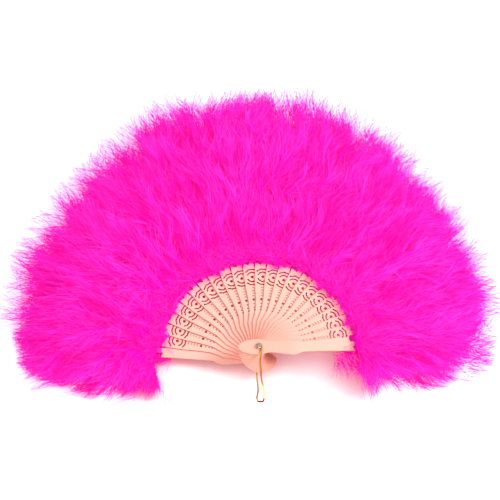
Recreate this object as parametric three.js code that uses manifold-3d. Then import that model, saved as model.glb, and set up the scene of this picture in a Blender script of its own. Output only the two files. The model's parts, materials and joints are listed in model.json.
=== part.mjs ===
// Folding feather fan, laid open and flat. Twenty-four moulded plastic blades are stacked on one
// rivet, each a step lower than the blade to its right, and each ends in a rib that carries a plume.
// Millimetres. The rivet's axis is +Z, the middle of the open fan is +Y and the front is up.
import * as THREE from 'three';
import { mergeVertices } from 'three/addons/utils/BufferGeometryUtils.js';
import Module from 'manifold-3d';

const wasm = await Module();
wasm.setup();

// The stack: blade 0 is the front guard, blade 23 the back guard, and the fan folds to blade 12.
const BLADE_COUNT = 24;
const CENTRE_BLADE = 12;
const BACK_BLADE = BLADE_COUNT - 1;
const BLADE_PITCH = THREE.MathUtils.degToRad(7.53);
const STICK_THICK = 1.25;
const GUARD_THICK = 2.4;
const STACK_GAP = 0.35;
const SEAT_GAP = 0.3;
const CUT_OVERRUN = 2;

// A blade, measured from the rivet: a leaf-shaped head behind it, a waisted neck, a flared end.
const BLADE_REACH = 98;
const BLADE_HALF = 9.2;
const HEAD_REACH = 22.9;
const HEAD_HALF = 8.8;
const SHOULDER_RUN = 6;
const GUARD_HALF = 7.9;
const GUARD_SLANT = 6.4;
const RIB_HALF = 2.6;
const RIB_TIP_HALF = 1.6;
const RIB_SEAT = 38;

// Pairs of shares: how far along the blade's reach, and how much of its half width.
const STICK_SIDE_SHARES = [
  [0.11, 0.62], [0.22, 0.655], [0.335, 0.82], [0.4, 0.75], [0.46, 0.58], [0.56, 0.57],
  [0.68, 0.7], [0.8, 0.87], [0.9, 0.96], [1, 1],
];
const GUARD_OUTER_SHARES = [
  [0.11, 0.79], [0.21, 0.95], [0.31, 1.2], [0.37, 1.3], [0.42, 1.14], [0.46, 0.95], [0.6, 0.93],
  [0.82, 0.96], [1, 0.99],
];
const GUARD_INNER_SHARES = [
  [0.11, 0.68], [0.24, 0.74], [0.35, 0.76], [0.46, 0.56], [0.58, 0.54], [0.72, 0.7], [0.86, 0.88],
  [1, 0.97],
];
const SIDE_STEPS = 8;
const GUARD_STEPS = 18;
const HEAD_STEPS = 7;

// The pierced pattern of an inner stick, from the neck outwards.
const SMALL_DOT_SHARES = [0.505, 0.538, 0.58];
const SMALL_DOT_R = 0.85;
const SMALL_DOT_SIDES = 5;
const BIG_DOT_SHARE = 0.63;
const BIG_DOT_R = 1.6;
const BIG_DOT_SIDES = 6;
const CHEVRON_COUNT = 4;
const CHEVRON_HALF = 2.2;
const CHEVRON_RISE = 1.3;
const CHEVRON_WIDTH = 0.9;
const ROSE_SHARE = 0.9;
const ROSE_DOT_R = 1.8;
const ROSE_DOT_SIDES = 6;
const ROSE_RING_SHARES = [0.61, 1];
const ROSE_SLOT_HALF = 0.8;
const UPPER_ARC = [THREE.MathUtils.degToRad(72), THREE.MathUtils.degToRad(53)];
const LOWER_ARC = [THREE.MathUtils.degToRad(68), THREE.MathUtils.degToRad(42)];
const ARC_STEPS = [4, 3];
const PIVOT_SIDES = 8;

// Rivet and wire bail: the bail's ends are bent into eyes round the shank, under the heads.
const SHANK_R = 1.5;
const RIVET_HEAD_R = 2.9;
const RIVET_FLAT_R = 2.2;
const RIVET_HEAD_THICK = 1.2;
const RIVET_SEGMENTS = 14;
const WIRE_R = 1.05;
const WIRE_SIDES = 7;
const BAIL_LENGTH = 56;
const BAIL_FOOT_HALF = 2.4;
const BAIL_STEPS = 66;
const EYE_END_ANGLE = THREE.MathUtils.degToRad(235);
const EYE_POINTS = 8;
// Shares: how far down the bail, how far from its middle towards the eye's height, and how much of
// the quarter turn that lays its foot across the fan.
const BAIL_LEG_SHARES = [
  [0.3, 1.02, 0], [0.5, 1, 0], [0.68, 0.86, 0.012], [0.84, 0.58, 0.14], [0.95, 0.3, 0.3],
];
const EYE_OFFSET_SHARES = [[0.08, 0.92], [0.17, 0.42]];

// The thread that links the ribs just outside the blades, and the plumes beyond it.
const THREAD_R = 0.4;
const THREAD_SIDES = 4;
const THREAD_STEPS = 46;
const THREAD_SETBACK = 3.4;
const PLUME_SETBACK = 3.4;
const PLUME_DEPTH = 147;
const CROWN_RISE = 41;
const CROWN_POWER = 3;
const PLUME_HALF_THICK = 31;
const FRONT_SPREAD = THREE.MathUtils.degToRad(16);
const BACK_SPREAD = THREE.MathUtils.degToRad(25);
// Share of the way out, and of the plume's half thickness there.
const PLUME_PROFILE_SHARES = [
  [0, 0.2], [0.1, 0.58], [0.25, 0.86], [0.45, 1], [0.66, 0.96], [0.83, 0.78], [0.94, 0.52], [1, 0.22],
];
// How far an end plume swells past its guard at each of those places, as a share of its spread.
const LOBE_SHARES = [0.3, 0.8, 1, 0.8, 0.5, 0.3, 0.22, 0.16];
const LOBE_SHOULDER_SHARE = 0.55;
const LOBE_EDGE_SHARE = 0.45;
const LEVEL_BLEND_SHARE = 0.3;

// Heights of the stack, from the back of the rivet upwards.
const EYE_LEVEL = RIVET_HEAD_THICK + SEAT_GAP + WIRE_R;
const BACK_GUARD_LEVEL = EYE_LEVEL + WIRE_R + SEAT_GAP;
const FIRST_STICK_LEVEL = BACK_GUARD_LEVEL + GUARD_THICK + STACK_GAP;
const STICK_STEP = STICK_THICK + STACK_GAP;
const FRONT_GUARD_LEVEL = FIRST_STICK_LEVEL + (BLADE_COUNT - 2) * STICK_STEP;
const STACK_TOP = FRONT_GUARD_LEVEL + GUARD_THICK;
const RIVET_LENGTH = STACK_TOP + BACK_GUARD_LEVEL;
const STACK_MIDDLE = RIVET_LENGTH / 2;

// Places along a blade, worked out from its reach.
const SHOULDER_END = BLADE_REACH + SHOULDER_RUN;
const THREAD_PLACE = SHOULDER_END + THREAD_SETBACK;
const PLUME_START = THREAD_PLACE + PLUME_SETBACK;
const RIB_END = PLUME_START + RIB_SEAT;

const isGuard = (k) => k === 0 || k === BACK_BLADE;
const bladeAngle = (k) => (k - CENTRE_BLADE) * BLADE_PITCH;
const bladeThick = (k) => (isGuard(k) ? GUARD_THICK : STICK_THICK);
const twoDigits = (k) => String(k).padStart(2, '0');

function bladeLevel(k) {
  if (k === 0) return FRONT_GUARD_LEVEL;
  if (k === BACK_BLADE) return BACK_GUARD_LEVEL;
  return FIRST_STICK_LEVEL + (BACK_BLADE - 1 - k) * STICK_STEP;
}

const materials = {
  blade: () => new THREE.MeshStandardMaterial({ color: 0xf9d3c2, roughness: 0.42, metalness: 0 }),
  plume: () => new THREE.MeshStandardMaterial({ color: 0xfb1ec0, roughness: 0.95, metalness: 0 }),
  thread: () => new THREE.MeshStandardMaterial({ color: 0xf52fb4, roughness: 0.8, metalness: 0 }),
  gold: () => new THREE.MeshStandardMaterial({ color: 0xe3b44a, roughness: 0.25, metalness: 1 }),
  steel: () => new THREE.MeshStandardMaterial({ color: 0xc9ccd0, roughness: 0.3, metalness: 1 }),
};

function named(name, geometry, material) {
  const mesh = new THREE.Mesh(geometry, material());
  mesh.name = name;
  return mesh;
}

function toSolid(geometry) {
  const bare = geometry.clone();
  bare.deleteAttribute('normal');
  bare.deleteAttribute('uv');
  const merged = mergeVertices(bare);
  const mesh = new wasm.Mesh({
    numProp: 3,
    vertProperties: new Float32Array(merged.attributes.position.array),
    triVerts: new Uint32Array(merged.index.array),
  });
  return new wasm.Manifold(mesh);
}

function toGeometry(solid) {
  const mesh = solid.getMesh();
  const geometry = new THREE.BufferGeometry();
  geometry.setAttribute('position', new THREE.BufferAttribute(mesh.vertProperties, 3));
  geometry.setIndex(new THREE.BufferAttribute(mesh.triVerts, 1));
  return geometry;
}

// Blades

// One long side of a blade, from the neck to its end, on the side that sign gives.
function sidePoints(shares, half, reach, sign, steps) {
  const points = shares.map(([along, width]) => new THREE.Vector2(sign * width * half, along * reach));
  return new THREE.SplineCurve(points).getPoints(steps);
}

// The leaf-shaped head behind the rivet, from the left side round to the right.
function headPoints() {
  const points = [];
  for (let i = 0; i <= HEAD_STEPS; i += 1) {
    const turn = Math.PI + (Math.PI * i) / HEAD_STEPS;
    points.push(new THREE.Vector2(HEAD_HALF * Math.cos(turn), HEAD_REACH * Math.sin(turn)));
  }
  return points;
}

// Head, sides and rib as one outline. The end is cut straight between the sides' two corners, and
// the rib grows out of it.
function bladeShape(right, left) {
  const [from, to] = [left.at(-1), right.at(-1)];
  const end = (x) => THREE.MathUtils.lerp(from.y, to.y, (x - from.x) / (to.x - from.x));
  const rib = [
    [RIB_HALF, end(RIB_HALF)], [RIB_TIP_HALF, RIB_END],
    [-RIB_TIP_HALF, RIB_END], [-RIB_HALF, end(-RIB_HALF)],
  ].map(([x, y]) => new THREE.Vector2(x, y));
  return new THREE.Shape([...headPoints(), ...right, ...rib, ...left.toReversed()]);
}

function polygonHole(x, y, radius, sides) {
  const points = [];
  for (let i = 0; i < sides; i += 1) {
    const turn = (2 * Math.PI * (i + 0.5)) / sides;
    points.push(new THREE.Vector2(x + radius * Math.cos(turn), y + radius * Math.sin(turn)));
  }
  return new THREE.Path(points);
}

// A curved slot about the rose's centre, which opens by reach to each side of the blade's axis.
function arcHole(centre, radius, reach, outward, steps) {
  const points = [];
  const middle = outward ? Math.PI / 2 : -Math.PI / 2;
  for (let i = 0; i <= steps; i += 1) {
    const turn = middle - reach + (2 * reach * i) / steps;
    const outer = radius + ROSE_SLOT_HALF;
    points.push(new THREE.Vector2(outer * Math.cos(turn), centre + outer * Math.sin(turn)));
  }
  for (let i = steps; i >= 0; i -= 1) {
    const turn = middle - reach + (2 * reach * i) / steps;
    const inner = radius - ROSE_SLOT_HALF;
    points.push(new THREE.Vector2(inner * Math.cos(turn), centre + inner * Math.sin(turn)));
  }
  return new THREE.Path(points);
}

// A small roof-shaped slit across the blade, its point outwards.
function chevronHole(y) {
  return new THREE.Path([
    new THREE.Vector2(-CHEVRON_HALF, y),
    new THREE.Vector2(0, y + CHEVRON_RISE),
    new THREE.Vector2(CHEVRON_HALF, y),
    new THREE.Vector2(0, y + CHEVRON_RISE + CHEVRON_WIDTH),
  ]);
}

function piercedPattern() {
  const holes = SMALL_DOT_SHARES.map((share) => (
    polygonHole(0, share * BLADE_REACH, SMALL_DOT_R, SMALL_DOT_SIDES)
  ));
  const bigDot = BIG_DOT_SHARE * BLADE_REACH;
  holes.push(polygonHole(0, bigDot, BIG_DOT_R, BIG_DOT_SIDES));
  const rose = ROSE_SHARE * BLADE_REACH;
  holes.push(polygonHole(0, rose, ROSE_DOT_R, ROSE_DOT_SIDES));
  ROSE_RING_SHARES.forEach((share, ring) => {
    holes.push(arcHole(rose, share * BLADE_HALF, UPPER_ARC[ring], true, ARC_STEPS[ring]));
    holes.push(arcHole(rose, share * BLADE_HALF, LOWER_ARC[ring], false, ARC_STEPS[ring]));
  });
  const start = bigDot + BIG_DOT_R;
  const end = rose - Math.max(...ROSE_RING_SHARES) * BLADE_HALF - ROSE_SLOT_HALF;
  const step = (end - start - CHEVRON_RISE - CHEVRON_WIDTH) / CHEVRON_COUNT;
  for (let i = 0; i < CHEVRON_COUNT; i += 1) {
    holes.push(chevronHole(start + step * (i + 0.5)));
  }
  return holes;
}

// A stick runs on to a point at its left corner, the one that its neighbour leaves open to view.
function stickShape() {
  const right = sidePoints(STICK_SIDE_SHARES, BLADE_HALF, BLADE_REACH, 1, SIDE_STEPS);
  const left = sidePoints(STICK_SIDE_SHARES, BLADE_HALF, BLADE_REACH, -1, SIDE_STEPS);
  left.push(new THREE.Vector2(left.at(-1).x, SHOULDER_END));
  return bladeShape(right, left);
}

// A guard's outer side has a bolder bump, and its end is cut aslant, longer on that side.
function guardShape(outerSign) {
  const longReach = BLADE_REACH + SHOULDER_RUN;
  const shortReach = longReach - GUARD_SLANT;
  const outer = sidePoints(GUARD_OUTER_SHARES, GUARD_HALF, longReach, outerSign, GUARD_STEPS);
  const inner = sidePoints(GUARD_INNER_SHARES, GUARD_HALF, shortReach, -outerSign, GUARD_STEPS);
  return outerSign > 0 ? bladeShape(outer, inner) : bladeShape(inner, outer);
}

function makeBlade(k) {
  const shape = isGuard(k) ? guardShape(k === 0 ? 1 : -1) : stickShape();
  shape.holes.push(polygonHole(0, 0, SHANK_R + SEAT_GAP, PIVOT_SIDES));
  if (!isGuard(k)) shape.holes.push(...piercedPattern());
  return new THREE.ExtrudeGeometry(shape, { depth: bladeThick(k), bevelEnabled: false, steps: 1 });
}

// Plumes

// The plume of blade k, in that blade's own directions but at the fan's own heights. Its sides are
// planes half a pitch to each side, so that neighbours keep one even gap, and a plume on a guard
// swells past it into a lobe.
function plumeSection(k, index) {
  const [out, thick] = PLUME_PROFILE_SHARES[index];
  const crown = CROWN_RISE * Math.cos(bladeAngle(k)) ** CROWN_POWER;
  const y = PLUME_START + out * (PLUME_DEPTH + crown);
  const side = y * Math.tan(BLADE_PITCH / 2) - SEAT_GAP / 2 / Math.cos(BLADE_PITCH / 2);
  const ease = THREE.MathUtils.smoothstep(out, 0, LEVEL_BLEND_SHARE);
  const own = bladeLevel(k) + bladeThick(k) / 2;
  const middle = THREE.MathUtils.lerp(own, STACK_MIDDLE, ease);
  const half = thick * PLUME_HALF_THICK;
  const top = Math.min(middle + half, STACK_MIDDLE + PLUME_HALF_THICK);
  const foot = Math.max(middle - half, STACK_MIDDLE - PLUME_HALF_THICK);
  if (!isGuard(k)) return [[side, y, foot], [side, y, top], [-side, y, top], [-side, y, foot]];
  const spread = k === 0 ? FRONT_SPREAD : BACK_SPREAD;
  const outward = k === 0 ? 1 : -1;
  const edge = y * Math.tan(LOBE_SHARES[index] * spread);
  const shoulder = Math.max(LOBE_SHOULDER_SHARE * edge, side);
  const centre = (top + foot) / 2;
  const rise = (LOBE_EDGE_SHARE * (top - foot)) / 2;
  const ring = [
    [edge, y, centre - rise], [edge, y, centre + rise], [shoulder, y, top],
    [-side, y, top], [-side, y, foot], [shoulder, y, foot],
  ].map(([x, along, z]) => [outward * x, along, z]);
  return outward > 0 ? ring : ring.reverse();
}

// Joins rings of points, one after the other along +Y, into one closed skin.
function loft(rings) {
  const sides = rings[0].length;
  const index = [];
  for (let r = 0; r + 1 < rings.length; r += 1) {
    for (let i = 0; i < sides; i += 1) {
      const a = r * sides + i;
      const b = r * sides + ((i + 1) % sides);
      index.push(a, b + sides, b, a, a + sides, b + sides);
    }
  }
  const last = (rings.length - 1) * sides;
  for (let i = 1; i + 1 < sides; i += 1) {
    index.push(0, i, i + 1, last, last + i + 1, last + i);
  }
  const geometry = new THREE.BufferGeometry();
  geometry.setAttribute('position', new THREE.Float32BufferAttribute(rings.flat(2), 3));
  geometry.setIndex(index);
  return geometry;
}

function makePlume(k) {
  const rings = PLUME_PROFILE_SHARES.map((_, index) => plumeSection(k, index));
  const slotLength = CUT_OVERRUN + RIB_SEAT + SEAT_GAP;
  const slotHeight = bladeThick(k) + 2 * SEAT_GAP;
  const slot = new THREE.BoxGeometry(2 * (RIB_HALF + SEAT_GAP), slotLength, slotHeight);
  const slotPlace = PLUME_START - CUT_OVERRUN + slotLength / 2;
  slot.translate(0, slotPlace, bladeLevel(k) + bladeThick(k) / 2);
  return toGeometry(toSolid(loft(rings)).subtract(toSolid(slot)));
}

// Rivet, bail and thread

function makeRivet() {
  const bevel = RIVET_HEAD_R - RIVET_FLAT_R;
  const profile = [
    [0, 0], [RIVET_FLAT_R, 0], [RIVET_HEAD_R, bevel], [RIVET_HEAD_R, RIVET_HEAD_THICK],
    [SHANK_R, RIVET_HEAD_THICK], [SHANK_R, RIVET_LENGTH - RIVET_HEAD_THICK],
    [RIVET_HEAD_R, RIVET_LENGTH - RIVET_HEAD_THICK], [RIVET_HEAD_R, RIVET_LENGTH - bevel],
    [RIVET_FLAT_R, RIVET_LENGTH], [0, RIVET_LENGTH],
  ].map(([x, y]) => new THREE.Vector2(x, y));
  return new THREE.LatheGeometry(profile, RIVET_SEGMENTS).rotateX(Math.PI / 2);
}

// One eye and leg of the bail, from the free end of the eye to the foot. up is 1 on the front.
function bailHalf(up) {
  const eyeRadius = SHANK_R + SEAT_GAP + WIRE_R;
  const height = STACK_MIDDLE - EYE_LEVEL;
  const points = [];
  for (let i = 0; i < EYE_POINTS; i += 1) {
    const turn = EYE_END_ANGLE * (1 - i / (EYE_POINTS - 1));
    points.push([eyeRadius * Math.cos(turn), eyeRadius * Math.sin(turn), height]);
  }
  EYE_OFFSET_SHARES.forEach(([down, aside]) => {
    points.push([aside * eyeRadius, -down * BAIL_LENGTH, height]);
  });
  BAIL_LEG_SHARES.forEach(([down, apart, turned]) => {
    const turn = (turned * Math.PI) / 2;
    const aside = up * Math.sin(turn) * apart * height;
    points.push([aside, -down * BAIL_LENGTH, Math.cos(turn) * apart * height]);
  });
  points.push([up * BAIL_FOOT_HALF, -BAIL_LENGTH, 0]);
  return points.map(([x, y, z]) => new THREE.Vector3(x, y, STACK_MIDDLE + up * z));
}

function tubeAlong(points, radius, sides, steps) {
  const section = new THREE.Shape();
  for (let i = 0; i < sides; i += 1) {
    const turn = (2 * Math.PI * i) / sides;
    const corner = [radius * Math.cos(turn), radius * Math.sin(turn)];
    if (i === 0) section.moveTo(...corner);
    else section.lineTo(...corner);
  }
  const extrudePath = new THREE.CatmullRomCurve3(points, false, 'centripetal');
  return new THREE.ExtrudeGeometry(section, { steps, extrudePath, bevelEnabled: false });
}

function makeBail() {
  const path = [...bailHalf(1), ...bailHalf(-1).reverse()];
  return tubeAlong(path, WIRE_R, WIRE_SIDES, BAIL_STEPS);
}

// The thread lies on the upper face of each rib, and climbs from one to the next. The front guard
// is thick, so the thread is up at its face a rib's width before it gets there.
function makeThread() {
  const points = [];
  const add = (angle, k) => {
    const turn = Math.PI / 2 + angle;
    const z = bladeLevel(k) + bladeThick(k) + SEAT_GAP + THREAD_R;
    points.push(new THREE.Vector3(THREAD_PLACE * Math.cos(turn), THREAD_PLACE * Math.sin(turn), z));
  };
  add(bladeAngle(0), 0);
  add(bladeAngle(0) + (2 * RIB_HALF) / THREAD_PLACE, 0);
  for (let k = 1; k < BLADE_COUNT; k += 1) add(bladeAngle(k), k);
  return tubeAlong(points, THREAD_R, THREAD_SIDES, THREAD_STEPS);
}

// Assembly
const group = new THREE.Group();

for (let k = 0; k < BLADE_COUNT; k += 1) {
  const guardName = k === 0 ? 'front_guard' : 'back_guard';
  const blade = named(isGuard(k) ? guardName : `stick_${twoDigits(k)}`, makeBlade(k), materials.blade);
  blade.rotation.z = bladeAngle(k);
  blade.position.z = bladeLevel(k);
  group.add(blade);
  const plumeName = isGuard(k) ? `${guardName}_plume` : `plume_${twoDigits(k)}`;
  const plume = named(plumeName, makePlume(k), materials.plume);
  plume.rotation.z = bladeAngle(k);
  group.add(plume);
}

group.add(named('rivet', makeRivet(), materials.steel));
group.add(named('bail', makeBail(), materials.gold));
group.add(named('link_thread', makeThread(), materials.thread));

export default group;
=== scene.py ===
"""A folding fan: a ruff of dyed marabou down on pierced plastic blades, laid open on white paper.

Metres. The rivet's axis is +Z, the middle of the open fan is +Y and the front is up.
"""
import json
import math

import bpy
import numpy as np
from mathutils import Matrix, Vector


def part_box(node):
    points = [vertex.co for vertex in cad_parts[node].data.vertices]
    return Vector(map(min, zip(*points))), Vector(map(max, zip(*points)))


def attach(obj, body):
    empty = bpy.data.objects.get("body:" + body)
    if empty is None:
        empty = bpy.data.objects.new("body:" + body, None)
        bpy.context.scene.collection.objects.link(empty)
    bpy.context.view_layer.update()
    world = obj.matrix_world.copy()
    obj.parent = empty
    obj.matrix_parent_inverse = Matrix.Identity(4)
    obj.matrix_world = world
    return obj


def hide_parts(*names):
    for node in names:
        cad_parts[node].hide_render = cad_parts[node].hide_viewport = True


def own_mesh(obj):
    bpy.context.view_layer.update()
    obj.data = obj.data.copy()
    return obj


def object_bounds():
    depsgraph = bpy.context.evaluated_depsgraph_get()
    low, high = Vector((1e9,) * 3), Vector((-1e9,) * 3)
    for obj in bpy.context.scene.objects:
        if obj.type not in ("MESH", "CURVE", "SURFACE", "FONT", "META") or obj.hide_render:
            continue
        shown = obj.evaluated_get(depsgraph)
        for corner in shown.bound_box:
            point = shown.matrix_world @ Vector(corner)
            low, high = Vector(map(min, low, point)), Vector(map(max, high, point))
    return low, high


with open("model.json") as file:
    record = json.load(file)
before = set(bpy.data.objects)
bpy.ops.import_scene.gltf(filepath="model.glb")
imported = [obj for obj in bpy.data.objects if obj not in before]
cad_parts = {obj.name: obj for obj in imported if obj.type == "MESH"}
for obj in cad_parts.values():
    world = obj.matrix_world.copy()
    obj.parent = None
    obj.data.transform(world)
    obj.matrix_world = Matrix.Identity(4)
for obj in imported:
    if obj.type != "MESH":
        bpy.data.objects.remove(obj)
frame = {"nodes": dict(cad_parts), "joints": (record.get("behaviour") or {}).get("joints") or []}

cad_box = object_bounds()

# The view: a long lens above the handle and to its left, which sees the stack of blades from
# its lower edge. The rivet's front stands where it stands in the photograph.
IMAGE_HALF = 250
RIVET_PIXEL = (259.3, 345.2)
PIXEL = 0.00108
LEAN = math.radians(22)
LEAN_TO = Vector((-0.26, -0.966, 0)).normalized()
ROLL = math.radians(4)
DISTANCE = 3.0
SENSOR_MILLIMETRES = 36

rivet_low, rivet_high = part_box("rivet")
backward = LEAN_TO * math.sin(LEAN) + Vector((0, 0, math.cos(LEAN)))
rightward = Matrix.Rotation(-ROLL, 3, backward) @ Vector((0, 1, 0)).cross(backward).normalized()
upward = backward.cross(rightward)
aim = (
    Vector((0, 0, rivet_high.z))
    + rightward * (IMAGE_HALF - RIVET_PIXEL[0]) * PIXEL
    + upward * (RIVET_PIXEL[1] - IMAGE_HALF) * PIXEL
)
camera = bpy.data.objects.new("camera", bpy.data.cameras.new("camera"))
bpy.context.scene.collection.objects.link(camera)
turn = Matrix((rightward, upward, backward)).transposed().to_4x4()
camera.matrix_world = Matrix.Translation(aim + backward * DISTANCE) @ turn
camera.data.sensor_width = SENSOR_MILLIMETRES
camera.data.lens = SENSOR_MILLIMETRES * DISTANCE / (2 * IMAGE_HALF * PIXEL)
bpy.context.scene.camera = camera


# The table: white paper with a fine tooth, in a white room. What the camera sees of both is plain
# white, but the paper keeps the fan's shadow. Where the fan closes in the air above it, its white
# glow fades and its colour is painted pink, and dark red with a faint red glow right under the fan:
# painted shadow.
class Wire:
    """A socket of a finish. Sums, differences and products of wires add the nodes they need."""

    def __init__(self, finish, socket):
        self.finish = finish
        self.socket = socket

    def maths(self, operation, first, second):
        return self.finish.node("Math", {"operation": operation}, {0: first, 1: second})

    def __add__(self, other):
        return self.maths("ADD", self, other)

    def __sub__(self, other):
        return self.maths("SUBTRACT", self, other)

    def __rsub__(self, other):
        return self.maths("SUBTRACT", other, self)

    def __mul__(self, other):
        return self.maths("MULTIPLY", self, other)

    def __abs__(self):
        return self.maths("ABSOLUTE", self, 0)

    __radd__ = __add__
    __rmul__ = __mul__


class Finish:
    """The nodes of one material, or of the world."""

    def __init__(self, owner):
        self.owner = owner
        owner.use_nodes = True
        self.tree = owner.node_tree
        self.tree.nodes.clear()

    def node(self, kind, settings=None, sockets=None, out=0):
        made = self.tree.nodes.new("ShaderNode" + kind)
        for name, value in (settings or {}).items():
            if name == "stops":
                for _ in value[2:]:
                    made.color_ramp.elements.new(1)
                for stop, (place, colour) in zip(made.color_ramp.elements, value):
                    stop.position = place
                    stop.color = (*colour, 1)
            else:
                setattr(made, name, value)
        for name, value in (sockets or {}).items():
            if isinstance(value, Wire):
                self.tree.links.new(value.socket, made.inputs[name])
            else:
                made.inputs[name].default_value = value
        return Wire(self, made.outputs[out]) if made.outputs else made

    def place(self):
        return self.node("TexCoord", out="Object")

    def mix(self, share, first, second):
        return self.node("Mix", {"data_type": "RGBA"}, {0: share, 6: first, 7: second}, out=2)

    def noise(self, size, detail=2):
        sockets = {"Vector": self.place(), "Scale": 1 / size, "Detail": detail}
        return self.node("TexNoise", None, sockets)

    def part(self, vector, axis):
        return self.node("SeparateXYZ", None, {0: vector}, out=axis)

    def length(self, vector):
        return self.node("VectorMath", {"operation": "LENGTH"}, {0: vector}, out="Value")

    def openness(self, within, samples):
        """How much of the air above a point is open, up to a distance: one where all is."""
        settings = {"samples": samples}
        return self.node("AmbientOcclusion", settings, {"Distance": within}, out="AO")

    def stretch(self, value, ends):
        """Nought below the first end, one above the second, and smooth between."""
        sockets = {"Value": value, "From Min": ends[0], "From Max": ends[1]}
        return self.node("MapRange", {"interpolation_type": "SMOOTHSTEP"}, sockets)

    def bump(self, height, distance):
        return self.node("Bump", None, {"Height": height, "Distance": distance})

    def shader(self, sockets):
        return self.node("BsdfPrincipled", None, sockets)

    def surface(self, shader):
        self.node("OutputMaterial", None, {"Surface": shader})
        return self.owner


def material(name):
    return Finish(bpy.data.materials.new(name))


def stand(name, content):
    """An object of that name and content in the scene."""
    made = bpy.data.objects.new(name, content)
    bpy.context.scene.collection.objects.link(made)
    return made


PAPER_HALF = 3
PAPER_DROP = 0.0004
PAPER_ROUGH = 0.9
PAPER_GLOSS = 0.1
TOOTH_SIZE = 0.0006
TOOTH_RISE = 0.00005
PAPER_WHITE = (0.9, 0.9, 0.9, 1)
# Painted shadow colours: pink near the fan, dark red under it, a faint red glow in the shade.
PAINTED_SHADOW_PINK = (0.95, 0.7, 0.72, 1)
PAINTED_UNDER_SHADE = (0.62, 0.12, 0.16, 1)
UNDER_SHARES = (0.06, 0.3)
PAINTED_SHADE_GLOW = (0.18, 0.006, 0.012, 1)
PAPER_GLOW = 0.75
OPEN_WITHIN = 0.06
OPEN_SAMPLES = 8
OPEN_SHARES = (0.5, 1.0)
CLEAR_RUN = (0.12, 0.18)
ROOM_LIGHT = 0.62
WHITE = (1, 1, 1, 1)
BLACK = (0, 0, 0, 1)

paper_level = cad_box[0].z - PAPER_DROP
paper_mesh = bpy.data.meshes.new("paper")
corners = [(-1, -1), (1, -1), (1, 1), (-1, 1)]
paper_points = [(x * PAPER_HALF, y * PAPER_HALF, paper_level) for x, y in corners]
paper_mesh.from_pydata(paper_points, [], [range(len(corners))])
stand("paper", paper_mesh)

card = material("white_paper")
seen = card.node("LightPath", out="Is Camera Ray")
open_air = card.openness(OPEN_WITHIN, OPEN_SAMPLES)
clear = card.stretch(card.length(card.place()), CLEAR_RUN)
# Painted shadow: the less open the air above, the pinker the paper, dark red under the fan.
glow = card.stretch(open_air + clear, OPEN_SHARES)
outside_under_shade = card.stretch(open_air, UNDER_SHARES)
paper_mesh.materials.append(
    card.surface(
        card.shader(
            {
                "Base Color": card.mix(outside_under_shade, PAINTED_UNDER_SHADE, card.mix(glow, PAINTED_SHADOW_PINK, PAPER_WHITE)),
                "Roughness": PAPER_ROUGH,
                "Specular IOR Level": PAPER_GLOSS,
                "Normal": card.bump(card.noise(TOOTH_SIZE), TOOTH_RISE),
                "Emission Color": card.mix(seen, BLACK, card.mix(glow, PAINTED_SHADE_GLOW, WHITE)),
                "Emission Strength": PAPER_GLOW,
            }
        )
    )
)

walls = Finish(bpy.data.worlds.new("room"))
bpy.context.scene.world = walls.owner
direct = walls.node("LightPath", out="Is Camera Ray")
brightness = direct * (1 - ROOM_LIGHT) + ROOM_LIGHT
wall_light = walls.node("Background", None, {"Color": WHITE, "Strength": brightness})
walls.node("OutputWorld", None, {"Surface": wall_light})

LAMPS = {
    # where it stands, its width, its power
    "window": ((1.35, 0.1, 1.3), 0.5, 24),
    "card": ((0.2, -1.7, 0.6), 1.2, 12),
    "ceiling": ((-0.7, 1.0, 1.5), 1.2, 9),
}
for name, (place, width, power) in LAMPS.items():
    lamp = bpy.data.lights.new(name, "AREA")
    lamp.size = width
    lamp.energy = power
    lamp_object = stand(name, lamp)
    lamp_object.location = place
    lamp_object.rotation_mode = "QUATERNION"
    lamp_object.rotation_quaternion = Vector(place).to_track_quat("Z", "Y")

bpy.context.scene.view_settings.view_transform = "Standard"


# The blades: twenty-two pierced sticks between two guards, moulded in pale pink polystyrene. They
# are a shade deeper at the heads. Past the heads their walls are painted a deeper red, painted
# shade for the dark lines along their edges, and faces deep in the holes and between the blades
# are painted dark red, painted shade. Past the blades' ends the ribs have taken up the dye.
BLADE_COUNT = 24
CENTRE_BLADE = 12
PLASTIC_PALE = (0.98, 0.53, 0.43, 1)
PLASTIC_DEEP = (0.97, 0.46, 0.36, 1)
PLASTIC_CLOUD = (0.98, 0.48, 0.4, 1)
# Painted shade: the colour of the walls past the heads.
PAINTED_WALL_SHADE = (0.8, 0.2, 0.14, 1)
# Painted shade: the colour of faces deep in recesses.
PAINTED_RECESS_SHADE = (0.28, 0.003, 0.016, 1)
PLASTIC_ROUGH = 0.3
PLASTIC_ROUGHER = 0.14
PLASTIC_GLOSS = 0.25
RIB_DOWN = (1.0, 0.04, 0.62, 1)
RECESS = 0.005
RECESS_SAMPLES = 6
RECESS_SHARES = (0.3, 0.52)
UPPER_FACES = (-0.5, 0)
CLOUD_SIZE = 0.02
CLOUD_SHARE = 0.3
DEEP_RUN = (0.028, 0.05)
RIB_RUN = (0.1025, 0.1045)
FLOW_SIZE = 0.006
FLOW_DETAIL = 3
FLOW_SHARE = 0.7
MOULD_GRAIN = 0.0005
GRAIN_DETAIL = 1
SKIN_RISE = 0.00004

fold = frame["joints"][0]
PITCH = math.radians(fold["range_deg"][1] / CENTRE_BLADE)


def blade_name(k):
    return {0: "front_guard", BLADE_COUNT - 1: "back_guard"}.get(k, f"stick_{k:02d}")


def blade_body(k):
    return "middle_stick" if k == CENTRE_BLADE else blade_name(k)


def dress(node, finish):
    """The solid of that name shows as it is, in this finish."""
    materials = frame["nodes"][node].data.materials
    materials.clear()
    materials.append(finish)


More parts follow.
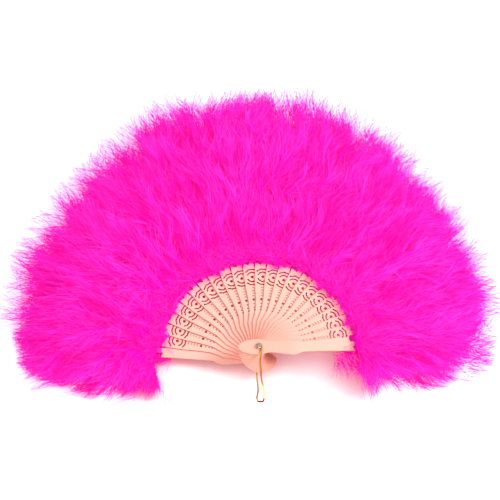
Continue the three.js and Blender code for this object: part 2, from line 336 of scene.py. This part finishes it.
plastic = material("moulded_plastic")
flat_place = plastic.node(
    "VectorMath", {"operation": "MULTIPLY"}, {0: plastic.place(), 1: (1, 1, 0)}
)
from_rivet = plastic.length(flat_place)
past_head = plastic.stretch(from_rivet, DEEP_RUN)
cloud = plastic.noise(CLOUD_SIZE)
face_up = plastic.part(plastic.node("NewGeometry", out="True Normal"), "Z")
tint = plastic.mix(past_head, PLASTIC_DEEP, PLASTIC_PALE)
tint = plastic.mix(cloud * CLOUD_SHARE, tint, PLASTIC_CLOUD)
# Painted shade: walls past the heads are painted a deeper red, for the dark lines at the edges.
tint = plastic.mix(past_head * (1 - abs(face_up)), tint, PAINTED_WALL_SHADE)
tint = plastic.mix(plastic.stretch(from_rivet, RIB_RUN), tint, RIB_DOWN)
flow = plastic.noise(FLOW_SIZE, FLOW_DETAIL) * FLOW_SHARE
skin = flow + plastic.noise(MOULD_GRAIN, GRAIN_DETAIL) * (1 - FLOW_SHARE)
open_face = plastic.shader(
    {
        "Base Color": tint,
        "Roughness": cloud * PLASTIC_ROUGHER + PLASTIC_ROUGH,
        "Specular IOR Level": PLASTIC_GLOSS,
        "Normal": plastic.bump(skin, SKIN_RISE),
    }
)
painted_shade_face = plastic.shader(
    {"Base Color": PAINTED_RECESS_SHADE, "Roughness": 1, "Specular IOR Level": 0}
)
# Painted shade: faces deep in recesses, not facing down, turn dark red by ambient occlusion.
recessed = 1 - plastic.stretch(plastic.openness(RECESS, RECESS_SAMPLES), RECESS_SHARES)
painted_recess_share = recessed * plastic.stretch(face_up, UPPER_FACES) * past_head
plastic.surface(plastic.node("MixShader", None, {0: painted_recess_share, 1: open_face, 2: painted_shade_face}))
for k in range(BLADE_COUNT):
    dress(blade_name(k), plastic.owner)


# The down: each blade's rib carries a bunch of marabou feathers, dyed hot pink. A feather is a
# soft quill with long curling barbs all round it, which cling together in locks. The bunches run
# from the blades' ends to the fan's rim, and the end ones hang over the guards.
DOWN_SEED = 21
UP = np.array([0.0, 0.0, 1.0])
TINY = 1e-6

# The room that each plume's solid gives its down, in shares of the way out and of its breadth.
PUFF_PLACES = (0, 0.1, 0.25, 0.45, 0.66, 0.83, 0.94, 1)
PUFF_SHARES = (0.2, 0.58, 0.86, 1, 0.96, 0.78, 0.52, 0.22)
LOBE_SHARES = (0.3, 0.8, 1, 0.8, 0.5, 0.3, 0.22, 0.16)
RISE_OVER = 0.3
LOBE_RIMS = (
    # degrees past the guard, share of its plume's reach: the front guard, then the back one
    {-8: 1, 0: 0.885, 8: 0.84, 13: 0.74, 18: 0.61, 26: 0.45, 40: 0.35},
    {-6: 1, 4: 1.01, 12: 0.93, 15: 0.86, 19: 0.71, 25: 0.52, 28: 0.38, 40: 0.33},
)
RIM_TRIMS = {
    # degrees from +X, metres by which the rim is drawn in there
    0: 0.004, 10: 0.004, 30: 0.002, 45: 0, 60: -0.004, 80: 0, 110: 0.003,
    120: 0.011, 140: 0.012, 150: 0.0, 165: 0.004, 180: -0.003,
}
TUFT = 0.0022
TUFT_WAVES = (9, 23, 41)
ROOM_OVER = (0.0235, 0.0178)
ROOT_INSET = 0.02
SHORTEST = 0.0001
PROUD = 0.008
FREE_SHARE = 0.75
COMB_WAVES = 7
COMB_WAVE = 44
COMB_SHIFT = 0.003
COMB_FROM = (0.1, 0.135)

# The feathers: their quills, the locks on a quill and the hairs in a lock. A fall is a share at
# the quill's root and what it has lost at the tip.
FEATHERS = 130
LOBE_FEATHERS = 210
QUILL_RUN = (0.024, 0.05)
QUILL_CROWDING = 0.8
QUILL_STRAY = 0.26
QUILL_BEND = 0.14
QUILL_BEHIND = 0.012
BEHIND_POWER = 4
LEVEL_POWER = 0.55
LEVEL_SHARE = 0.97
HANG_TURN = math.radians(78)
HANG_POWER = 0.5
HANG_FADE = 0.5
LOCKS = 17
LOCK_RUN = (0.018, 0.038)
LOCK_FLATNESS = 0.6
LOCK_OPENING = (0.05, 0.8)
LOCK_CURL = 0.75
LOCK_STRAY = 0.13
LOCK_TONE = 0.18
OPENING_FALL = (1.2, 0.5)
LENGTH_FALL = (1.05, 0.3)
FEATHER_TONES = (0.05, 0.95)
HAIRS = 4
HAIR_HALF = 0.00026
HAIR_OVER = (-0.034, 0.012)
HAIR_APART = 0.0012
HAIR_STRAY = 0.08
HAIR_CURL = 0.06
HAIR_UNEVEN = 0.003
HAIR_TONE = 0.13
STEPS = 4

# The collar: short hairs over the blade's end. A pair is for the inner plumes and the lobes, or
# for the front guard and the back one.
COLLAR_HAIRS = 1200
COLLAR_HALF = 0.00024
COLLAR_RUN = (0.01, 0.022)
COLLAR_RISE = (0.0006, 0.007)
COLLAR_DEPTH = 0.042
COLLAR_CROWDINGS = (1.4, 2.2)
COLLAR_SWAY = 0.2
COLLAR_LIFT = 0.5
COLLAR_TONE = 0.9
COLLAR_STRAYS = (0.95, 0.5)
STRAY_RUN = 0.03
FRONT_SHARE = 0.6
CENTRAL_SHARE = 0.5
BARE_RUN = (0.006, 0.017)
LOBE_BARES = (0.006, 0.001)
BACK_BARE = 0.02
TIP_RISE = 0.011
TIP_TURN = math.radians(2.2)
HUNG_START = 0.001
HUNG_RUN = (0.01, 0.022)
HUNG_POWER = 0.4
HUNG_STRAY = 0.3
BEHIND_START = 0.004
BEHIND_RUNS = (0.034, 0.006)
BEHIND_CROWDING = 1.6
BEHIND_DROP = 0.01
BEHIND_SHARE = 0.6
# Painted shade: hairs hung behind and below a guard take a deeper tone.
BEHIND_SHADE_TONE = 0.2

# The wisps past the rim, and the quill that lies loose.
WISPS = 240
LOBE_WISPS = 360
WISP_HALF = 0.00024
WISP_RUN = (0.03, 0.06)
WISP_OVER = (-0.004, 0.036)
WISP_CROWDING = 1.3
WISP_DRAWN = (-0.012, 0.04)
WISP_ROOT_RUN = 0.02
WISP_APART = 0.004
WISP_STRAY = 0.2
WISP_FLATNESS = (1, 1, 0.6)
WISP_SWAY = 0.12
WISP_TONES = (0.3, 1)
OUTERMOST_SHARE = 3
LOOSE_START = (0.0925, -0.0052, 0.046)
LOOSE_END = (0.154, 0.004, 0.064)
LOOSE_BOW = 0.004
LOOSE_HALF = 0.0006
HAIR_TAPER = 0.65
TAPER_POWER = 1.5
TONE_WIDTH = 0.04


def unit(vectors):
    return vectors / np.linalg.norm(vectors, axis=-1, keepdims=True)


def radial(angle):
    return np.stack([np.cos(angle), np.sin(angle), np.zeros_like(angle)], -1)


def smooth(share):
    share = np.clip(share, 0, 1)
    return share * share * (3 - 2 * share)


class Plume:
    """The room that a plume's solid fills, in shares of the way out from its blade's end."""

    def __init__(self, k):
        self.lobed = k in (0, BLADE_COUNT - 1)
        self.node = blade_name(k) + "_plume" if self.lobed else f"plume_{k:02d}"
        self.body = blade_body(k)
        self.heading = math.pi / 2 + (k - CENTRE_BLADE) * PITCH
        points = np.array([v.co for v in frame["nodes"][self.node].data.vertices])
        out = np.hypot(points[:, 0], points[:, 1])
        trims = list(RIM_TRIMS), list(RIM_TRIMS.values())
        self.start = out.min()
        self.reach = out.max() - np.interp(math.degrees(self.heading), *trims)
        aside = np.arctan2(points[:, 1], points[:, 0]) - self.heading
        aside = (aside + math.pi) % (2 * math.pi) - math.pi
        self.edges = [aside.min(), aside.max()]
        self.foot, self.top = points[:, 2].min(), points[:, 2].max()
        low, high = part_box(blade_name(k))
        self.blade_low, self.blade_top = low.z, high.z

    def share(self, out):
        return np.clip((out - self.start) / (self.reach - self.start), 0, 1)

    def levels(self, share):
        """The middle of the room and half its height there: it starts about its own blade."""
        own = (self.blade_low + self.blade_top) / 2
        middle = own + ((self.foot + self.top) / 2 - own) * smooth(share / RISE_OVER)
        half = (self.top - self.foot) / 2 * np.interp(share, PUFF_PLACES, PUFF_SHARES)
        top, foot = np.minimum(middle + half, self.top), np.maximum(middle - half, self.foot)
        return (top + foot) / 2, (top - foot) / 2

    def sides(self, share):
        """The angles from the blade to the room's two sides, and whether each hangs."""
        lobe = np.interp(share, PUFF_PLACES, LOBE_SHARES)
        hangs = [abs(edge) > PITCH for edge in self.edges]
        shapes = [lobe if hung else np.ones_like(lobe) for hung in hangs]
        return [edge * shape for edge, shape in zip(self.edges, shapes)], hangs


rooms = [Plume(k) for k in range(BLADE_COUNT)]
comb_rng = np.random.default_rng(DOWN_SEED)
comb_ways = comb_rng.normal(size=(COMB_WAVES, 3)) * COMB_WAVE
comb_starts = comb_rng.uniform(0, 2 * math.pi, COMB_WAVES)


def rim(angle):
    """How far out the down reaches at an angle, less and less where it hangs over the guards."""
    reach = np.interp(angle, [room.heading for room in rooms], [room.reach for room in rooms])
    for room, side, shares in zip((rooms[0], rooms[-1]), (-1, 1), LOBE_RIMS):
        past = np.degrees(angle - room.heading) * side
        reach = reach * np.interp(past, list(shares), list(shares.values()))
    return reach + TUFT * sum(np.sin(angle * wave + wave) for wave in TUFT_WAVES)


def furthest(points, over):
    """How far out points lie, and the most that each may at its angle, some way past the rim."""
    angle = (np.arctan2(points[:, 1], points[:, 0]) + math.pi / 2) % (2 * math.pi) - math.pi / 2
    right, top = np.array(cad_box[1])[:2] + ROOM_OVER
    bottom = cad_box[0].y - ROOM_OVER[1]
    end = np.where(np.sin(angle) > 0, top, bottom) / (np.sin(angle) + TINY)
    most = np.minimum(rim(angle) + over, right / (np.abs(np.cos(angle)) + TINY))
    return np.hypot(points[:, 0], points[:, 1]), np.minimum(most, end)


def trimmed(paths, over):
    """Paths drawn in so that each ends no further past the rim than it may. Some fall away."""
    roots = paths[:, 0]
    tip_out, most = furthest(paths[:, -1], over)
    root_out = np.hypot(roots[:, 0], roots[:, 1])
    kept = root_out < most - ROOT_INSET / 2
    share = np.clip((most - root_out) / np.maximum(tip_out - root_out, SHORTEST), 0, 1)
    share = np.where(tip_out > most, share, 1)
    return (roots[:, None] + (paths - roots[:, None]) * share[:, None, None])[kept], kept


def settled(paths):
    """The down combed aside in drifts, and lying on the paper. It is alike from plume to plume."""
    drift = np.sin(paths @ comb_ways.T + comb_starts).sum(-1) / math.sqrt(COMB_WAVES / 2)
    out = np.hypot(paths[..., 0], paths[..., 1])
    combed = smooth((out - COMB_FROM[0]) / (COMB_FROM[1] - COMB_FROM[0]))
    drift = drift * COMB_SHIFT * combed
    across = np.stack([-paths[..., 1], paths[..., 0]], -1) / out[..., None]
    middle = (cad_box[0].z + cad_box[1].z) / 2
    rise = paths[..., 2] - middle
    way = np.sign(rise)
    free = (cad_box[1].z - middle) * FREE_SHARE
    beyond = np.where(rise > 0, cad_box[1].z + PROUD, -cad_box[0].z) - way * middle - free
    past = np.maximum(np.abs(rise) - free, 0)
    height = np.minimum(np.abs(rise), free) + beyond * np.tanh(past / beyond)
    level = middle + way * height
    return np.concatenate([paths[..., :2] + across * drift[..., None], level[..., None]], -1)


def quills(room, rng):
    """Where a plume's feathers start, which way they point and how long they are."""
    count = LOBE_FEATHERS if room.lobed else FEATHERS
    last = room.reach - ROOT_INSET
    start = room.start + (last - room.start) * rng.uniform(size=count) ** QUILL_CROWDING
    share = room.share(start)
    limits, hangs = room.sides(share)
    aside = rng.uniform(limits[0], limits[1])
    hang = np.zeros(count)
    for limit, hung in zip(limits, hangs):
        if hung:
            past = (aside * np.sign(limit) - PITCH / 2) / (np.abs(limit) - PITCH / 2)
            turned = np.clip(past, 0, 1) ** HANG_POWER * (1 - share * HANG_FADE)
            hang += HANG_TURN * turned * np.sign(limit)
    height = rng.uniform(-1, 1, count)
    height = np.sign(height) * np.abs(height) ** LEVEL_POWER * LEVEL_SHARE
    behind = (np.abs(aside) > PITCH / 2) & (height < 0)
    inward = QUILL_BEHIND * (1 - share) ** BEHIND_POWER * rng.uniform(size=count)
    start = start - np.where(behind, inward, 0)
    middle, half = room.levels(share)
    starts = radial(room.heading + aside) * start[:, None] + UP * (middle + height * half)[:, None]
    run = np.minimum(rng.uniform(*QUILL_RUN, count), last - start + QUILL_RUN[0])
    middle_after, half_after = room.levels(room.share(start + run))
    rise = middle_after + height * half_after - middle - height * half
    way = radial(room.heading + aside + hang + rng.normal(0, QUILL_STRAY, count))
    return starts, unit(way * run[:, None] + UP * rise[:, None]), run


def barbs(starts, ways, runs, rng):
    """Paths of the hairs in every lock on some quills, and a tone for each hair."""
    count = len(starts)
    along = rng.uniform(0, 1, (count, LOCKS))
    sideways = unit(np.cross(ways, UP))
    lift = np.cross(sideways, ways)
    bend = sideways * (rng.normal(0, QUILL_BEND, count) * runs)[:, None]
    roots = starts[:, None] + (ways * runs[:, None])[:, None] * along[..., None]
    roots = roots + bend[:, None] * (along**2)[..., None]
    roll = rng.uniform(0, 2 * math.pi, (count, LOCKS, 1))
    outward = sideways[:, None] * np.cos(roll) + lift[:, None] * np.sin(roll) * LOCK_FLATNESS
    opening = rng.uniform(*LOCK_OPENING, (count, LOCKS, 1))
    opening = opening * (OPENING_FALL[0] - OPENING_FALL[1] * along[..., None])
    ahead = ways[:, None] * np.cos(opening) + outward * np.sin(opening)
    curl = rng.uniform(0, LOCK_CURL, (count, LOCKS, 1))
    turn_in = (ways[:, None] - ahead) * curl + rng.normal(0, LOCK_STRAY, (count, LOCKS, 3))
    length = rng.uniform(*LOCK_RUN, (count, LOCKS, 1))
    length = length * (LENGTH_FALL[0] - LENGTH_FALL[1] * along[..., None])
    feather_tone = rng.uniform(*FEATHER_TONES, (count, 1, 1))
    tone = feather_tone + rng.normal(0, LOCK_TONE, (count, LOCKS, 1))

    def each(values, spread):
        """A value of a lock handed to its hairs, each a little off."""
        shape = values.shape[:2] + (HAIRS,) + values.shape[2:]
        return (values[:, :, None] + rng.normal(0, spread, shape)).reshape(-1, 1, values.shape[2])

    step = np.linspace(0, 1, STEPS + 1)[:, None]
    travelled = each(ahead, HAIR_STRAY) * step + each(turn_in, HAIR_CURL) * step**2
    paths = each(roots, HAIR_APART) + travelled * each(length, HAIR_UNEVEN)
    return paths, each(tone, HAIR_TONE).ravel()


def singles(roots, ways, runs, bend, rng):
    """Paths of single hairs, each with a sway of its own."""
    sway = rng.normal(0, bend, (len(roots), 1, 3))
    step = np.linspace(0, 1, STEPS + 1)[:, None]
    return roots[:, None] + (ways[:, None] * step + sway * step**2) * runs[:, None, None]


def collar(room, rng):
    """Short hairs every way over a blade's end and its rib, on both faces."""
    guard = 0 if room is rooms[0] else 1
    count = COLLAR_HAIRS * 2 if room.lobed else COLLAR_HAIRS
    side = rng.choice([-1, 1], count, p=[1 - FRONT_SHARE, FRONT_SHARE])
    bare = rng.uniform(*BARE_RUN)
    if room.lobed:
        bare = LOBE_BARES[guard]
    limits = room.sides(np.full(count, PUFF_PLACES[1]))[0]
    near = np.clip(limits, -PITCH / 2, PITCH / 2)
    central = rng.uniform(size=count) < CENTRAL_SHARE
    aside = rng.uniform(*np.where(central, near, limits))
    hung = np.abs(aside) > PITCH / 2

    slant = TIP_RISE * ((aside + TIP_TURN) % PITCH) / PITCH * (not room.lobed)
    inner = room.start + np.where(side > 0, slant - bare, -BACK_BARE)
    crowding = COLLAR_CROWDINGS[room.lobed]
    out = inner + (room.start + COLLAR_DEPTH - inner) * rng.uniform(size=count) ** crowding
    face = np.where(side > 0, room.blade_top, room.blade_low)
    level = face + side * rng.uniform(*COLLAR_RISE, count)
    middle, half = room.levels(room.share(out))
    level = np.where(hung, middle + half * rng.uniform(-1, 1, count), level)

    behind = hung & (level < room.blade_low) & (rng.uniform(size=count) < BEHIND_SHARE)
    out = np.where(hung & ~behind, np.maximum(out, room.start + HUNG_START), out)
    inward = BEHIND_RUNS[guard] * rng.uniform(size=count) ** BEHIND_CROWDING
    out = np.where(behind, room.start + BEHIND_START - inward, out)
    level = np.where(behind, room.blade_low - BEHIND_DROP * rng.uniform(size=count), level)
    roots = radial(room.heading + aside) * out[:, None] + UP * level[:, None]

    past = (np.abs(aside) - PITCH / 2) / (np.abs(limits).max() - PITCH / 2 + TINY)
    hang = HANG_TURN * np.clip(past, 0, 1) ** HUNG_POWER * np.sign(aside)
    calmer = smooth((out - room.start) / STRAY_RUN)
    stray = COLLAR_STRAYS[0] - (COLLAR_STRAYS[0] - COLLAR_STRAYS[1]) * calmer
    stray = np.where(room.lobed, COLLAR_STRAYS[1], stray)
    stray = np.where(hung, HUNG_STRAY, stray)
    ways = radial(room.heading + aside + np.where(hung, hang, 0) + rng.normal(0, 1, count) * stray)
    ways = unit(ways + UP * (side * rng.uniform(0, COLLAR_LIFT, count))[:, None])
    runs = np.where(hung, rng.uniform(*HUNG_RUN, count), rng.uniform(*COLLAR_RUN, count))
    paths = singles(roots, ways, runs, COLLAR_SWAY, rng)
    # Hairs behind and below the guard take a deeper tone: painted shade.
    return paths, rng.uniform(0, COLLAR_TONE, count) * np.where(behind, BEHIND_SHADE_TONE, 1)


def wisps(room, starts, ways, runs, rng):
    """Thin hairs from the outermost quills, which stand out past the rest."""
    ends = starts + ways * runs[:, None]
    out, most = furthest(ends, 0)
    outermost = np.argsort(most - out)[: len(starts) // OUTERMOST_SHARE]
    chosen = rng.choice(outermost, LOBE_WISPS if room.lobed else WISPS)
    count = len(chosen)
    roots = ends[chosen] - ways[chosen] * rng.uniform(0, WISP_ROOT_RUN, count)[:, None]
    roots = roots + rng.normal(0, WISP_APART, roots.shape)
    way = unit(ways[chosen] + rng.normal(0, WISP_STRAY, roots.shape) * WISP_FLATNESS)
    paths = singles(roots, way, rng.uniform(*WISP_RUN, count), WISP_SWAY, rng)
    over = (WISP_OVER[1] - WISP_OVER[0]) * rng.uniform(size=count) ** WISP_CROWDING
    tip_out, most = furthest(paths[:, -1], WISP_OVER[0] + over)
    outward = paths[:, -1] * (1, 1, 0) / tip_out[:, None]
    drawn = np.clip(most - tip_out, *WISP_DRAWN)
    return paths + (outward * drawn[:, None])[:, None], rng.uniform(*WISP_TONES, count)


def loose_quill():
    """The path of a bare quill, which lies loose over the front guard's plume."""
    step = np.linspace(0, 1, STEPS + 1)[:, None]
    start, end = np.array(LOOSE_START), np.array(LOOSE_END)
    return (start + (end - start) * step + UP * LOOSE_BOW * np.sin(step * math.pi))[None]


def ribbons(paths, half_width, tones, rng):
    """Tapering ribbons: their points, faces, and map: the tone across and the length up."""
    count, points = paths.shape[:2]
    heading = np.gradient(paths, axis=1)
    flat = unit(np.cross(heading, unit(rng.normal(size=(count, 1, 3)))))
    step = np.linspace(0, 1, points)
    edge = flat * (half_width * (1 - HAIR_TAPER * step**TAPER_POWER))[:, None]
    corners = np.stack([paths - edge, paths + edge], 2).reshape(-1, 3)
    first = np.arange(count)[:, None] * points * 2 + np.arange(points - 1) * 2
    faces = np.stack([first, first + 1, first + 3, first + 2], -1).reshape(-1, 4)
    tone = np.clip(tones, 0, 1) * (1 - TONE_WIDTH)
    across = np.stack([tone, tone + TONE_WIDTH], -1)[:, None].repeat(points, 1)
    spots = np.stack([across, np.broadcast_to(step[None, :, None], across.shape)], -1)
    return corners, faces, spots.reshape(-1, 2)[faces.ravel()]


def bridged(rings, sides):
    """The faces of a closed tube of rings."""
    ring = np.arange(sides)
    after = np.roll(ring, -1)
    first = np.arange(rings - 1)[:, None] * sides
    quads = [first + ring, first + after, first + sides + after, first + sides + ring]
    ends = [ring[::-1].tolist(), (first[-1] + sides + ring).tolist()]
    return np.stack(quads, -1).reshape(-1, 4).tolist() + ends


def ride(mesh, room, node):
    """The mesh stands in for a solid, which it hides, and rides on a plume's blade."""
    mesh.shade_smooth()
    piece = stand(mesh.name, mesh)
    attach(piece, room.body)
    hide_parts(node)
    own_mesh(piece)


# Deep in each plume the down is matted into a soft heart, which closes the gaps between barbs.
# It takes the deepest tone, painted shade for the down's dark inside.
HEART_END = 0.86
HEART_RINGS = 9
HEART_SIDES = 12
HEART_THICK = 0.45
HEART_LOBE = 0.55
HEART_INSET = 0.022
HEART_SHADE_SPOT = 0.02


def heart(room):
    """The heart's points, faces and map, on the spot of the deepest tone, as painted shade."""
    share = np.linspace(0, HEART_END, HEART_RINGS)
    limits, hangs = room.sides(share)
    limits = [limit * (HEART_LOBE if hung else 1) for limit, hung in zip(limits, hangs)]
    middle, half = room.levels(share)
    around = np.linspace(0, 2 * math.pi, HEART_SIDES, endpoint=False)
    aside, up = (np.sign(wave) * np.sqrt(np.abs(wave)) for wave in (np.cos(around), np.sin(around)))
    spread = (limits[1] - limits[0]) / 2
    angle = room.heading + ((limits[0] + limits[1]) / 2)[:, None] + spread[:, None] * aside
    out = room.start + share[:, None] * (room.reach - room.start)
    points = radial(angle) * np.minimum(out, rim(angle) - HEART_INSET)[..., None]
    points[..., 2] = middle[:, None] + (half * HEART_THICK)[:, None] * up
    faces = bridged(HEART_RINGS, HEART_SIDES)
    corners = [np.linspace(0, 2 * math.pi, len(face), endpoint=False) for face in faces]
    spots = [HEART_SHADE_SPOT * (1 + radial(turn)[:, :2]) for turn in corners]
    return points.reshape(-1, 3), faces, np.concatenate(spots)


DYE_ROOT = (0.98, 0.004, 0.64)
DYE_MIDDLE = (1.0, 0.015, 0.82)
DYE_TIP = (0.86, 0.09, 0.96)
# Deepest tone: the dye's own in random locks, painted shade on the heart and hairs behind guards.
DEEP_DYE_AND_SHADE = (0.97, 0.001, 0.4, 1)
DEEP_SHARE = 0.95
# Painted light: the down glows faintly pink, for light scattered through it.
PAINTED_DOWN_GLOW = (1.0, 0.008, 0.66, 1)
PAINTED_GLOW_STRENGTH = 0.13
DOWN_ROUGH = 0.7
DOWN_GLOSS = 0.04

down = material("marabou_down")
map_spot = down.node("UVMap", {"uv_map": "OFBake"})
dye_stops = [(0, DYE_ROOT), (1, DYE_TIP), (0.5, DYE_MIDDLE)]
dye = down.node("ValToRGB", {"stops": dye_stops}, {0: down.part(map_spot, "Y")})
down_finish = down.surface(
    down.shader(
        {
            "Base Color": down.mix((1 - down.part(map_spot, "X")) * DEEP_SHARE, dye, DEEP_DYE_AND_SHADE),
            "Roughness": DOWN_ROUGH,
            "Specular IOR Level": DOWN_GLOSS,
            # Painted glow, not a lamp.
            "Emission Color": PAINTED_DOWN_GLOW,
            "Emission Strength": PAINTED_GLOW_STRENGTH,
        }
    )
)

# An end plume is so full that it is made as two bunches, one for each hand that tied it.
bunches = [(room, 0) for room in rooms] + [(rooms[0], 1), (rooms[-1], 1)]
for room, bunch in bunches:
    rng = np.random.default_rng([DOWN_SEED, rooms.index(room), bunch])
    feathers = quills(room, rng)
    kinds = [
        # paths and tones, how far past the rim they may go, half a hair's width
        (barbs(*feathers, rng), HAIR_OVER, HAIR_HALF),
        (collar(room, rng), HAIR_OVER, COLLAR_HALF),
        (wisps(room, *feathers, rng), (WISP_OVER[1], WISP_OVER[1]), WISP_HALF),
    ]
    if room is rooms[0] and bunch:
        kinds.append(((loose_quill(), np.array([1.0])), (0, 0), LOOSE_HALF))
    parts = []
    for (paths, tones), over, half in kinds:
        over = over[0] + (over[1] - over[0]) * rng.uniform(size=len(paths))
        paths, kept = trimmed(paths, over)
        parts.append(ribbons(settled(paths), half, tones[kept], rng))
    if not bunch:
        parts.append(heart(room))
    corners, faces, spots = [], [], []
    for part_corners, part_faces, part_spots in parts:
        first = sum(map(len, corners))
        faces += [[corner + first for corner in face] for face in part_faces]
        corners.append(part_corners)
        spots.append(part_spots)
    mesh = bpy.data.meshes.new(room.node.replace("plume", "down") + "_more" * bunch)
    mesh.from_pydata(np.concatenate(corners), [], faces)
    layer = mesh.uv_layers.new(name="OFBake")
    layer.data.foreach_set("uv", np.concatenate(spots).ravel())
    mesh.materials.append(down_finish)
    ride(mesh, room, room.node)


# The rivet: a plain nickel-plated pin through the heads, domed over at both ends. The plating
# is dulled in patches by handling.
NICKEL_DULL = (0.36, 0.36, 0.34, 1)
NICKEL_BRIGHT = (0.6, 0.6, 0.58, 1)
NICKEL_ROUGH = 0.16
NICKEL_ROUGHER = 0.2
WORN_SIZE = 0.0012
WORN_DETAIL = 3
PLATING_GRAIN = 0.0004
PLATING_RISE = 0.00003

nickel = material("nickel_plate")
worn = nickel.noise(WORN_SIZE, WORN_DETAIL)
nickel_finish = nickel.surface(
    nickel.shader(
        {
            "Base Color": nickel.mix(worn, NICKEL_DULL, NICKEL_BRIGHT),
            "Metallic": 1,
            "Roughness": worn * NICKEL_ROUGHER + NICKEL_ROUGH,
            "Normal": nickel.bump(nickel.noise(PLATING_GRAIN), PLATING_RISE),
        }
    )
)
dress("rivet", nickel_finish)


# The bail: a loop of gold-plated wire that swings on the rivet, an eye round each end of it. Its
# foot, where it is hung up, is dark red.
GOLD_DEEP = (0.78, 0.44, 0.08, 1)
GOLD_BRIGHT = (0.92, 0.62, 0.18, 1)
FOOT_RED = (0.5, 0.04, 0.02, 1)
FOOT_RUN = (0.0015, 0.004)
GOLD_ROUGH = 0.14
GOLD_ROUGHER = 0.16
DRAWN_SIZE = 0.0015
DRAWN_DETAIL = 3
WIRE_GRAIN = 0.0003
WIRE_RISE = 0.00002

gold = material("gold_wire")
drawn = gold.noise(DRAWN_SIZE, DRAWN_DETAIL)
foot_ends = [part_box("bail")[0].y + run for run in FOOT_RUN]
at_foot = 1 - gold.stretch(gold.part(gold.place(), "Y"), foot_ends)
gold_tint = gold.mix(drawn, GOLD_DEEP, GOLD_BRIGHT)
gold_finish = gold.surface(
    gold.shader(
        {
            "Base Color": gold.mix(at_foot, gold_tint, FOOT_RED),
            "Metallic": 1,
            "Roughness": drawn * GOLD_ROUGHER + GOLD_ROUGH,
            "Normal": gold.bump(gold.noise(WIRE_GRAIN), WIRE_RISE),
        }
    )
)
dress("bail", gold_finish)


# The thread: soft pink, knotted round each rib just past the blades. It keeps the blades at an
# even pitch when the fan is open.
THREAD_HALF = 0.00032
THREAD_SIDES = 6
THREAD_STEPS = 8
THREAD_SAG = 0.0011
THREAD_DEEP = (0.94, 0.03, 0.5, 1)
THREAD_PALE = (1.0, 0.12, 0.72, 1)
THREAD_ROUGH = 0.8
PLY_SIZE = 0.0008
PLY_DETAIL = 1
PLY_RISE = 0.0001

thread = material("linking_thread")
ply = thread.noise(PLY_SIZE, PLY_DETAIL)
thread_finish = thread.surface(
    thread.shader(
        {
            "Base Color": thread.mix(ply, THREAD_DEEP, THREAD_PALE),
            "Roughness": THREAD_ROUGH,
            "Normal": thread.bump(ply, PLY_RISE),
        }
    )
)


def tube(line):
    """The points of a round thread along a line of points."""
    along = np.gradient(line, axis=0)
    across = unit(np.cross(along, UP))
    above = unit(np.cross(across, along))
    turns = np.linspace(0, 2 * math.pi, THREAD_SIDES, endpoint=False)[:, None]
    rings = [
        at + (side * np.cos(turns) + over * np.sin(turns)) * THREAD_HALF
        for at, side, over in zip(line, across, above)
    ]
    return np.concatenate(rings)


thread_points = np.array([v.co for v in frame["nodes"]["link_thread"].data.vertices])
thread_out = np.hypot(thread_points[:, 0], thread_points[:, 1]).mean()
share = np.linspace(0, 1, THREAD_STEPS + 1)
sag = THREAD_SAG * np.sin(share * math.pi)
for room, after in zip(rooms, rooms[1:]):
    angle = room.heading + (after.heading - room.heading) * share
    low, high = ((end.blade_low + end.blade_top) / 2 for end in (room, after))
    line = radial(angle) * (thread_out + sag)[:, None] + UP * (low + (high - low) * share)[:, None]
    mesh = bpy.data.meshes.new("thread_after_" + room.body)
    mesh.from_pydata(tube(line), [], bridged(len(line), THREAD_SIDES))
    mesh.materials.append(thread_finish)
    ride(mesh, room, "link_thread")
